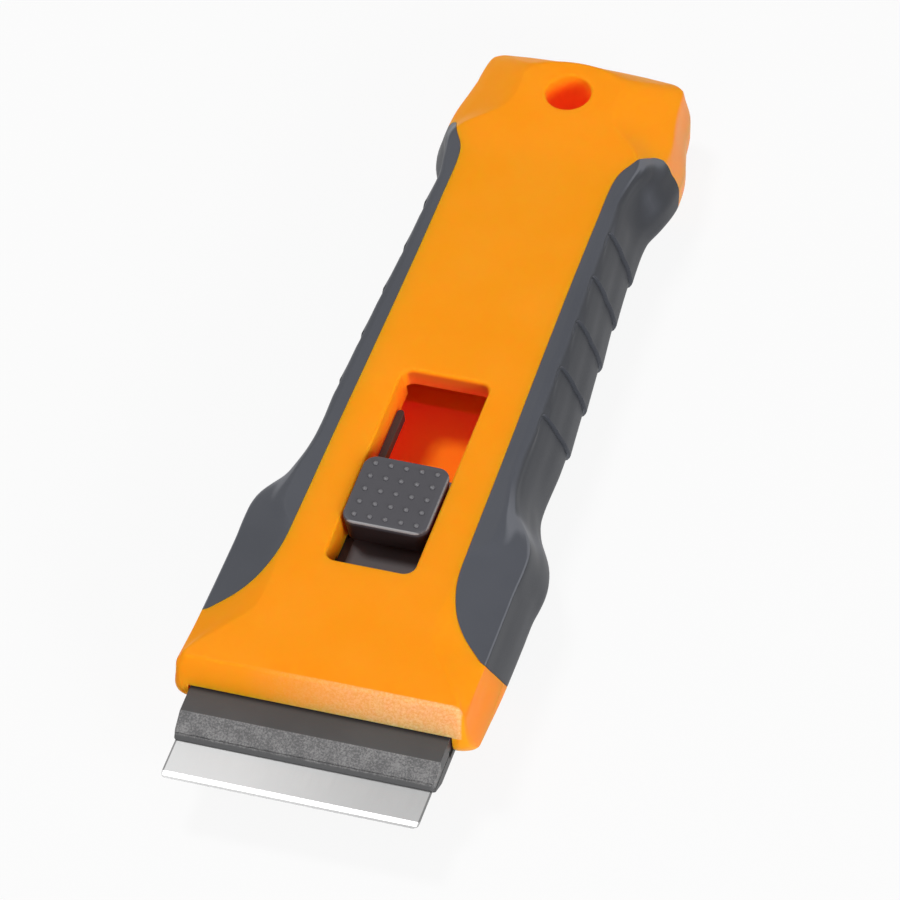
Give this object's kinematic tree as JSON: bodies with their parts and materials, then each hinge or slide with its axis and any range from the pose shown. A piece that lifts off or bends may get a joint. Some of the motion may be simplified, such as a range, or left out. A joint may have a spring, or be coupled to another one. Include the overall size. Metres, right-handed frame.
{
  "type": "hob scraper",
  "caption": "Hand scraper for glass hobs: two-shell handle with soft side grips and a razor blade in a clamp that slides in and out with a sprung thumb button.",
  "frame": {"origin": "middle of the handle's length on the flat back, under the centre line", "axes": "+Y along the handle toward the hanging hole, the blade points along -Y; +Z out of the face with the thumb button; +X to the right of the face with the blade toward the viewer"},
  "size_m": [0.0454, 0.1443, 0.0172],
  "materials": {
    "body": "orange moulded ABS, fine satin texture",
    "grip": "dark grey soft moulded grip, matt",
    "carrier": "dark brown-grey moulded nylon",
    "button": "grey moulded nylon with raised dots",
    "clamp": "grey coated clamp, speckled front facet",
    "blade": "ground razor steel",
    "spine": "folded sheet steel",
    "spring": "spring wire",
    "screw": "zinc-plated steel"
  },
  "bodies": {
    "handle": {"upper_shell": "body", "lower_shell": "body", "grip_left": "grip", "grip_right": "grip", "shell_screw_left": "screw", "shell_screw_right": "screw", "shell_screw_middle": "screw", "shell_screw_rear": "screw"},
    "slider": {"upper_jaw": "clamp", "lower_jaw": "clamp", "blade": "blade", "blade_spine": "spine", "clamp_screw_left": "screw", "clamp_screw_right": "screw", "blade_carrier": "carrier", "detent_leaf_left": "carrier", "detent_leaf_right": "carrier"},
    "button": {"thumb_button": "button", "latch_bar": "carrier", "button_spring": "spring"}
  },
  "joints": [
    {"name": "blade_slide", "type": "slide", "parent": "handle", "child": "slider", "axis": [0, -1, 0], "range_m": [-0.017, 0.0065]},
    {"name": "button_press", "type": "slide", "parent": "slider", "child": "button", "axis": [0, 0, -1], "range_m": [0, 0.001], "stiffness_N_per_m": 800, "springref_m": -0.002, "deforming": ["button_spring"]}
  ]
}
